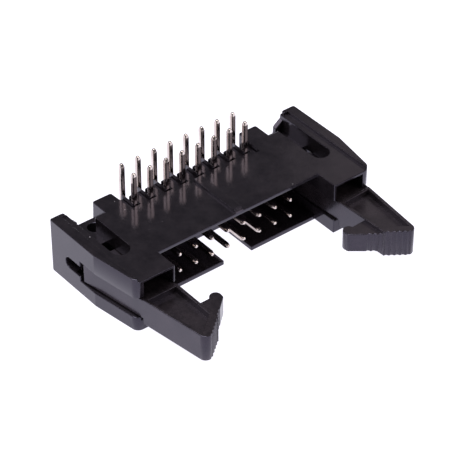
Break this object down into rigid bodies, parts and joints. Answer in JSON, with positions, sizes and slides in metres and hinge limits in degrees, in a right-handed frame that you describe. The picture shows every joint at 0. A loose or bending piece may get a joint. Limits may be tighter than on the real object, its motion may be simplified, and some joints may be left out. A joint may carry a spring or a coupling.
{
  "type": "box header",
  "caption": "Right-angle shrouded box header for a flat-cable socket, with bent square pins, a keyway and two swinging ejector latches.",
  "frame": {"origin": "on the board seat, on the middle line, one pitch in front of the front row of tails", "axes": "+X along the rows of pins, +Y away from the plug towards the tails, +Z out of the board seat, the way that the tails point"},
  "size_m": [0.0394, 0.0271, 0.0119],
  "materials": {
    "housing_plastic": "moulded, satin",
    "latch_plastic": "moulded, satin",
    "contact_metal": "bright tin plate"
  },
  "bodies": {
    "housing": {"housing": "housing_plastic", "contact_upper_1": "contact_metal", "contact_upper_2": "contact_metal", "contact_upper_3": "contact_metal", "contact_upper_4": "contact_metal", "contact_upper_5": "contact_metal", "contact_upper_6": "contact_metal", "contact_upper_7": "contact_metal", "contact_upper_8": "contact_metal", "contact_lower_1": "contact_metal", "contact_lower_2": "contact_metal", "contact_lower_3": "contact_metal", "contact_lower_4": "contact_metal", "contact_lower_5": "contact_metal", "contact_lower_6": "contact_metal", "contact_lower_7": "contact_metal", "contact_lower_8": "contact_metal"},
    "latch_left": {"latch_left": "latch_plastic"},
    "latch_right": {"latch_right": "latch_plastic"}
  },
  "joints": [
    {"name": "latch_left_swing", "type": "hinge", "parent": "housing", "child": "latch_left", "pos_m": [-0.016, -0.00411, -0.0044], "axis": [0, 0, -1], "range_deg": [0, 40]},
    {"name": "latch_right_swing", "type": "hinge", "parent": "housing", "child": "latch_right", "pos_m": [0.016, -0.00411, -0.0044], "axis": [0, 0, 1], "range_deg": [-2.7, 37.3]}
  ]
}
